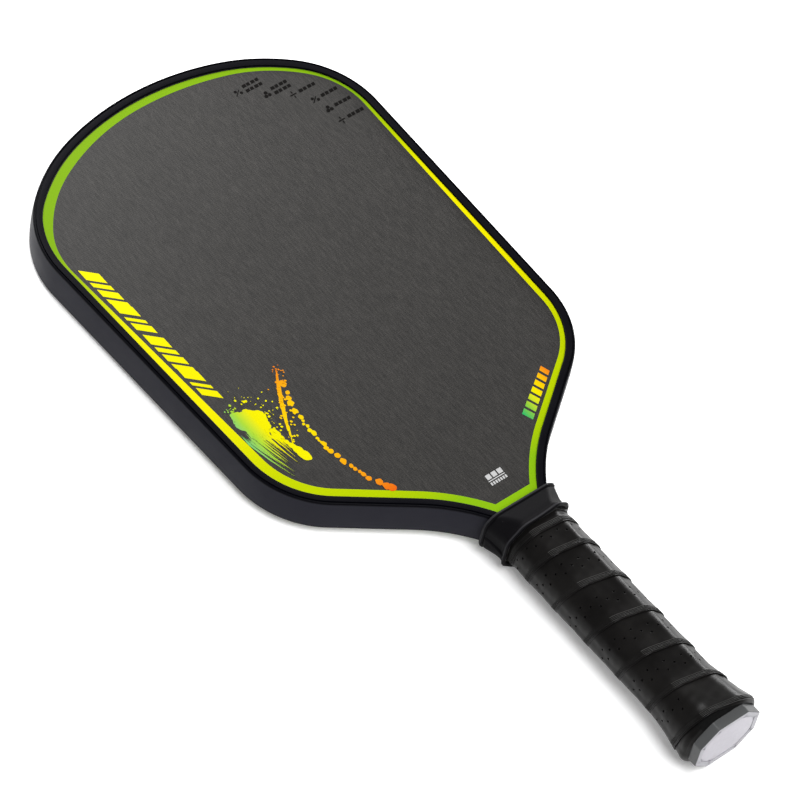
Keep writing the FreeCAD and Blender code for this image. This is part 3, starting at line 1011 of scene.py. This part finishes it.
# Grip material slots: plain skin, dark foam that also serves as painted shade, and a lighter tone
# painted on the ribs as their highlight.
SKIN_SLOT, FOAM_AND_SHADE_SLOT, RIB_HIGHLIGHT_SLOT = range(3)
# A perforation's rings: share of its radius, depth and slot.
HOLE_RINGS = ((1.12, 0.0, SKIN_SLOT), (1.0, 0.07, SKIN_SLOT), (0.92, HOLE_DEPTH, FOAM_AND_SHADE_SLOT))


def strip_faces(strip, taken):
    """Faces and their slots over the whole grid, apart from the cells taken by perforations."""
    faces = []
    slots = []
    total = len(strip.index)
    top = len(strip.rows)
    for row in range(total):
        above = (row + 1) % total
        ribbed = row < top - 1 and strip.rows[row][2] and strip.rows[above][2]
        for cell in range(strip.cells):
            if (cell, row) in taken:
                continue
            low, high = strip.span(row, cell), strip.span(above, cell)
            if ribbed:
                faces += [(low[k], high[k], high[k + 1], low[k + 1]) for k in range(FINE)]
                share = cell % COLUMNS_A_TURN / COLUMNS_A_TURN
                # Painted highlight and shade on the ribs: alternate faces take the lighter band
                # tone and the dark foam.
                slot = RIB_HIGHLIGHT_SLOT if row % 2 == len(EDGE_ROWS) % 2 else FOAM_AND_SHADE_SLOT
                # On the flatter left the ribs keep the plain skin, with no painted highlight.
                if FLAT_SIDE_START < share < FLAT_SIDE_END:
                    slot = SKIN_SLOT
                # The tapered start's columns take the dark foam as painted shade.
                slots += [FOAM_AND_SHADE_SLOT if cell < TAIL_SHADE_CELLS else slot] * FINE
                continue
            faces.append(tuple(low[::-1] + high))
            # Underside and cut edge rows are foam; the tapered start's columns take it as painted
            # shade.
            slots.append(FOAM_AND_SHADE_SLOT if row >= top - 1 or cell < TAIL_SHADE_CELLS else SKIN_SLOT)
    return faces, slots


def punch(strip, column, row, faces, slots):
    """A round blind hole whose rim joins the eight grid points about it."""
    ring = ((1, 0), (1, 1), (0, 1), (-1, 1), (-1, 0), (-1, -1), (0, -1), (1, -1))
    border = [strip.vertex(row + b, column + a) for a, b in ring]
    at = [np.array(strip.points[index]) for index in border]
    centre = np.array(strip.points[strip.vertex(row, column)])
    along, across = at[0] - at[4], at[2] - at[6]
    across /= np.linalg.norm(across)
    along -= across * (along @ across)
    along /= np.linalg.norm(along)
    inward = np.cross(along, across)
    if inward @ (centre * (1, 0, 1)) > 0:
        inward = -inward
    previous = border
    for scale, depth, slot in HOLE_RINGS:
        circle = list(range(len(strip.points), len(strip.points) + 8))
        for k in range(8):
            angle = radians(45 * k)
            offset = along * cos(angle) + across * sin(angle)
            strip.points.append((centre + offset * scale * HOLE_RADIUS + inward * depth).tolist())
            after = (k + 1) % 8
            faces.append((previous[k], circle[k], circle[after], previous[after]))
            slots.append(slot)
        previous = circle
    faces.append(tuple(previous[::-1]))
    slots.append(FOAM_AND_SHADE_SLOT)


def grip_wrap(materials):
    strip = Strip()
    holes = list(strip.holes())
    taken = {(column + a, row + b) for column, row in holes for a in (-1, 0) for b in (-1, 0)}
    faces, slots = strip_faces(strip, taken)
    for column, row in holes:
        punch(strip, column, row, faces, slots)
    total = range(len(strip.index))
    faces.append(tuple(strip.vertex(row, 0) for row in total))
    faces.append(tuple(strip.vertex(row, strip.cells) for row in total)[::-1])
    slots += [FOAM_AND_SHADE_SLOT, FOAM_AND_SHADE_SLOT]
    grip = new_piece("wound_grip", strip.points, faces, materials, slots, sharp_angle=55)
    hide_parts("grip_wrap")


# ---- collar ----
# Stations from inside the grip's end over the outside to the guard: y, half width, half depth.
COLLAR_PROFILE = [
    (127.0, 17.0, 14.0), (126.5, 17.6, 14.3), (126.3, 18.1, 14.8), (126.5, 18.6, 15.3),
    (127.0, 18.85, 15.55), (127.6, 18.8, 15.45), (128.0, 18.45, 15.1), (128.4, 18.05, 14.7),
    (129.4, 17.75, 14.3), (131.5, 17.85, 13.9), (134.0, 18.4, 13.2), (136.5, 19.0, 12.5),
    (138.4, 19.65, 11.9), (139.0, 19.8, 11.7), (139.25, 19.6, 11.45), (139.5, 20.1, 11.8),
    (140.0, 20.5, 12.0), (140.6, 20.7, 11.9), (141.1, 20.6, 11.4), (141.3, 20.25, 10.6),
    (141.25, 19.4, 9.6), (141.1, 17.2, 8.2), (140.0, 16.8, 7.9),
]
# Half widths beyond which a bead's crest carries a painted highlight, a paler copy of the rubber.
GRIP_BEAD_CREST = 18.72
HEAD_BEAD_CREST = 20.45
COLLAR_MIDDLE = 130.0
# The grip end's rise at the right, and how softly it sets in from the left.
COLLAR_SKEW = 1.75
COLLAR_SKEW_BEND = 0.12
# Over this stretch the section changes from the grip's to the head's.
COLLAR_BLEND_START = 128.0
COLLAR_BLEND_LENGTH = 13.0
COLLAR_CORNER_RADIUS = 6.2
COLLAR_HEAD_CHAMFER = (5.0, 4.2)
# The stretch of the sides between the beads, and how far its ends fade.
WAIST = (127.8, 139.2)
WAIST_FADE = (1.5, 1.0)
CREASE_START = (138.1, 0.2)
CREASE_SLOPE = 0.25
CREASE_DEPTH = 0.45
CREASE_HALF_WIDTH = 0.45
CREASE_SWELL = 0.55


def finer(profile, step):
    """The profile's stations with more between them, evenly spaced."""
    stations = []
    for first, second in zip(profile, profile[1:]):
        first, second = np.array(first), np.array(second)
        pieces = max(1, int(np.linalg.norm(second - first) / step))
        stations += [first + (second - first) * k / pieces for k in range(pieces)]
    return stations + [np.array(profile[-1])]


def side_relief(y, z):
    """Outset of the collar's sides: a parting crease and the swell on its rear side."""
    off_crease = z - CREASE_START[1] - CREASE_SLOPE * (y - CREASE_START[0])
    crease = np.exp(-((off_crease / CREASE_HALF_WIDTH) ** 2))
    return CREASE_SWELL * soft_step(0.5 - off_crease / 1.2) - CREASE_DEPTH * crease


def throat_collar(material, bead_highlight_material):
    """The rubber collar with a bead at either end, longer at its left."""
    rings = []
    flagged = []
    for y, half_width, half_depth in finer(COLLAR_PROFILE, 0.6):
        blend = soft_step((y - COLLAR_BLEND_START) / COLLAR_BLEND_LENGTH)
        chamfer = [a * (1 - blend) + b * blend for a, b in zip(GRIP_CHAMFER, COLLAR_HEAD_CHAMFER)]
        points, normals = octagon_ring(half_width, half_depth, chamfer, COLLAR_CORNER_RADIUS, 24, 8)
        x, z = points[:, 0], points[:, 1]
        free = soft_step((y - WAIST[0]) / WAIST_FADE[0])
        free *= soft_step((WAIST[1] - y) / WAIST_FADE[1])
        relief = free * np.abs(normals[:, 0]) ** 4 * side_relief(y, z)
        moved = points + normals * relief[:, None]
        across = x / half_width
        skew = COLLAR_SKEW * (1 - blend) * 0.5 * (across + np.sqrt(across ** 2 + COLLAR_SKEW_BEND))
        rings.append(ring_at(moved, y + skew))
        # Rings on a bead's crest take the paler rubber as a painted highlight.
        flagged.append(half_width > (GRIP_BEAD_CREST if y < COLLAR_MIDDLE else HEAD_BEAD_CREST))
    count = len(rings[0])
    faces = grid_faces(len(rings), count, close_rows=True, close_columns=True)
    faces = [face[::-1] for face in faces]
    slots = [int(flagged[index // count]) for index in range(len(faces))]
    materials = [material, bead_highlight_material]
    collar = new_piece("moulded_collar", np.concatenate(rings), faces, materials, slots, 60)
    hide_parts("throat_collar")


# ---- butt ----
CAP_RIM_OUTSET = 0.9
CAP_EDGE_RADIUS = 0.35
CAP_CORNER_RADIUS = 0.5
# The cap's outside from the sleeve under the grip to the end face: y and outset.
CAP_PROFILE = [
    (30.0, -1.7), (20.0, -0.4), (9.5, 1.5),
    (6.2, 1.4), (5.2, CAP_RIM_OUTSET), (CAP_EDGE_RADIUS, CAP_RIM_OUTSET),
    (0.1, CAP_RIM_OUTSET - 0.1), (0.0, CAP_RIM_OUTSET - CAP_EDGE_RADIUS), (0.0, -0.6),
    (0.0, -1.9), (0.5, -2.1),
]
END_FACE_STATION = 7


def butt_cap(rim_material, end_material):
    """The exposed rim of the cap with softly rounded edges, and the flare under the grip."""
    points, normals = octagon_ring(
        GRIP_HALF_WIDTH, GRIP_HALF_DEPTH, GRIP_CHAMFER, CAP_CORNER_RADIUS, 6, 4
    )
    rings = [ring_at(points + normals * outset, y) for y, outset in CAP_PROFILE]
    count = len(rings[0])
    faces = [face[::-1] for face in grid_faces(len(rings), count, close_columns=True)]
    slots = [1 if index // count >= END_FACE_STATION else 0 for index in range(len(faces))]
    faces.append(tuple(range((len(rings) - 1) * count, len(rings) * count)))
    faces.append(tuple(range(count - 1, -1, -1)))
    slots += [1, 0]
    materials = [rim_material, end_material]
    cap = new_piece("rounded_butt_cap", np.concatenate(rings), faces, materials, slots, 30)
    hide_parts("butt_cap")


# ---- stage ----
def add_camera():
    azimuth, elevation, roll = (
        radians(angle) for angle in (CAMERA_AZIMUTH, CAMERA_ELEVATION, CAMERA_ROLL)
    )
    back = Vector((
        sin(azimuth) * cos(elevation),
        -cos(azimuth) * cos(elevation),
        sin(elevation),
    ))
    level = Vector((cos(azimuth), sin(azimuth), 0.0))
    upright = back.cross(level)
    right = cos(roll) * level + sin(roll) * upright
    up = -sin(roll) * level + cos(roll) * upright
    camera = bpy.data.cameras.new("camera")
    camera.lens = CAMERA_LENS
    camera.sensor_width = 36.0
    camera.clip_start = 0.1
    camera.clip_end = 50.0
    obj = add_object("camera", camera)
    place_at = CAMERA_AIM - CAMERA_SHIFT[0] * right - CAMERA_SHIFT[1] * up + CAMERA_DISTANCE * back
    rotation = Matrix((right, up, back)).transposed().to_4x4()
    obj.matrix_world = Matrix.Translation(place_at) @ rotation
    bpy.context.scene.camera = obj


# Where the grip's flare touches the floor, and the floor's gap under it and half size.
FLARE_TOUCH_Y = 7.0
FLOOR_GAP = 0.1
FLOOR_HALF = 8000.0


def add_floor():
    """A pale, faintly glowing plane under the flare and the head's far edge; clear from below."""
    material, tree = new_material(
        "floor", 0.9, (0.92, 0.92, 0.92), Specular_IOR_Level=0.1, Emission_Strength=0.2
    )
    pale = tree.nodes["Principled BSDF"]
    clear = add_node(tree, "BsdfTransparent")
    mixed = add_node(tree, "MixShader")
    geometry = add_node(tree, "NewGeometry")
    tree.links.new(geometry.outputs["Backfacing"], mixed.inputs[0])
    tree.links.new(pale.outputs[0], mixed.inputs[1])
    tree.links.new(clear.outputs[0], mixed.inputs[2])
    tree.links.new(mixed.outputs[0], tree.nodes["Material Output"].inputs["Surface"])
    near_z = cad_low.z / MM - FLOOR_GAP
    slope = (-GUARD_HALF - near_z) / (HEAD_TOP - FLARE_TOUCH_Y)
    points = []
    for across, along in ((-1, -1), (1, -1), (1, 1), (-1, 1)):
        x, y = across * FLOOR_HALF, along * FLOOR_HALF
        points.append((x * MM, y * MM, (near_z + slope * (y - FLARE_TOUCH_Y)) * MM))
    mesh = bpy.data.meshes.new("floor")
    mesh.from_pydata(points, [], [(0, 1, 2, 3)])
    mesh.materials.append(material)
    floor = add_object("floor", mesh)


def add_light(name, kind, power, direction):
    light = bpy.data.lights.new(name, kind)
    light.energy = power
    obj = add_object(name, light)
    obj.rotation_euler = direction.to_track_quat("-Z", "Y").to_euler()
    return obj


def area_light(name, place_at, aim, size, power):
    obj = add_light(name, "AREA", power, Vector(aim) - Vector(place_at))
    obj.location = place_at
    obj.data.shape = "RECTANGLE"
    obj.data.size, obj.data.size_y = size


def soft_sun(towards, power, spread):
    """A broad distant light that shines from the direction towards."""
    obj = add_light("soft_key", "SUN", power, -Vector(towards))
    obj.data.angle = radians(spread)


# Colour of the dome by height, from the horizon up.
SKY_LIGHT = [(0.0, 0.9), (0.12, 0.75), (0.35, 0.22), (1.0, 0.12)]


def add_world():
    """A dim studio dome that is pale near the horizon."""
    world = bpy.data.worlds.new("studio")
    world.use_nodes = True
    tree = world.node_tree
    background = tree.nodes["Background"]
    coordinates = add_node(tree, "TexCoord")
    split = add_node(tree, "SeparateXYZ")
    tree.links.new(coordinates.outputs["Generated"], split.inputs[0])
    tree.links.new(ramp(tree, split.outputs["Z"], SKY_LIGHT), background.inputs["Color"])
    background.inputs["Strength"].default_value = 1.0
    bpy.context.scene.world = world


# ---- assembly ----
# Plain looks by CAD piece: material name, two colours and roughness.
HIDDEN_LOOKS = {
    "honeycomb_core": ("core_polymer", (0.55, 0.57, 0.6), (0.68, 0.7, 0.72), 0.5),
    "cap_staples": ("staple_steel", (0.45, 0.45, 0.46), (0.6, 0.6, 0.6), 0.35),
    "edge_guard_tape": ("guard_tape", (0.6, 0.6, 0.58), (0.7, 0.7, 0.68), 0.6),
    "grip_finishing_tape": ("finishing_tape", (0.01, 0.01, 0.01), (0.02, 0.02, 0.02), 0.4),
}
SKIN_TONES = ((0.0040, 0.0037, 0.0036), (0.0070, 0.0065, 0.0062))
# A lighter tone painted on the rib faces as their highlight.
RIB_HIGHLIGHT_TONES = ((0.0200, 0.0195, 0.0185), (0.0280, 0.0270, 0.0260))
# Rubber tones: plain and dusty.
RUBBER_TONES = ((0.0036, 0.0034, 0.0041), (0.030, 0.030, 0.033))
# The collar rubber with a painted highlight for the bead crests: plain and dusty.
BEAD_HIGHLIGHT_TONES = ((0.020, 0.020, 0.022), (0.050, 0.050, 0.054))
CAP_RIM_TONE = (0.060, 0.062, 0.063)
CAP_END_TONE = (0.31, 0.305, 0.33)


def main():
    scene = bpy.context.scene
    scene.view_settings.view_transform = "Standard"
    add_camera()
    add_floor()
    add_world()
    soft_sun((-0.05, -0.42, 0.90), 3.4, 40.0)
    area_light("head_end_soft", (0.12, 0.86, 0.50), (0.0, 0.40, 0.0), (0.45, 0.30), 7.5)
    area_light("far_side_rim", (1.45, 0.72, 0.26), (0.0, 0.12, 0.0), (1.1, 0.30), 24.0)
    carbon = carbon_material()
    guard = guard_material()
    stripe_ink = ink_material("border_ink", STRIPE_COLOURS)
    looks = {
        "front_carbon_face": carbon,
        "rear_carbon_face": carbon,
        "butt_badge": badge_material(),
    }
    for name, look in HIDDEN_LOOKS.items():
        looks[name] = plain_material(*look)
    film = plain_material("adhesive_film", (0.5, 0.42, 0.25), (0.6, 0.5, 0.32), 0.4)
    glass = plain_material("glass_laminate", (0.4, 0.45, 0.4), (0.5, 0.55, 0.48), 0.4)
    foam = plain_material("shell_foam", (0.03, 0.03, 0.03), (0.05, 0.05, 0.05), 0.8)
    for side in ("front_", "rear_"):
        looks[side + "adhesive_film"] = film
        looks[side + "tongue_bond"] = film
        looks[side + "glass_ply"] = glass
        looks[side + "handle_shell"] = foam
    for name, material in looks.items():
        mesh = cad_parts[name].data
        mesh.materials.clear()
        mesh.materials.append(material)
    edge_guard(guard)
    stripe("front_printed_border", stripe_ink, 1)
    stripe("rear_printed_border", stripe_ink, -1)
    side_bars(ink_material("side_bar_ink", SIDE_BAR_COLOURS))
    flank_bars(ink_material("flank_bar_ink", FLANK_BAR_COLOURS, axis=0))
    approval_block(ink_material("white_ink", WHITE_INK))
    spec_marks(ink_material("black_ink", BLACK_INK))
    splash(ink_material("splash_ink", SPLASH_COLOURS, axis=0))
    drip_trail(ink_material("drip_ink", DRIP_COLOURS))
    skin = grip_material("grip_polyurethane", *SKIN_TONES, 0.33, 0.08)
    # The ribs' lighter tone is a painted highlight.
    band = grip_material("grip_rib_painted_highlight", *RIB_HIGHLIGHT_TONES, 0.40, 0.2)
    grip_wrap([skin, foam_and_shade_material(), band])
    rubber = rubber_material("collar_rubber", *RUBBER_TONES)
    # A paler copy of the rubber, painted on the bead crests as their highlight.
    bead_highlight_rubber = rubber_material("collar_bead_painted_highlight", *BEAD_HIGHLIGHT_TONES)
    throat_collar(rubber, bead_highlight_rubber)
    rim = cap_material("cap_rim_plastic", CAP_RIM_TONE)
    end_face = cap_material("cap_end_plastic", CAP_END_TONE)
    butt_cap(rim, end_face)


main()
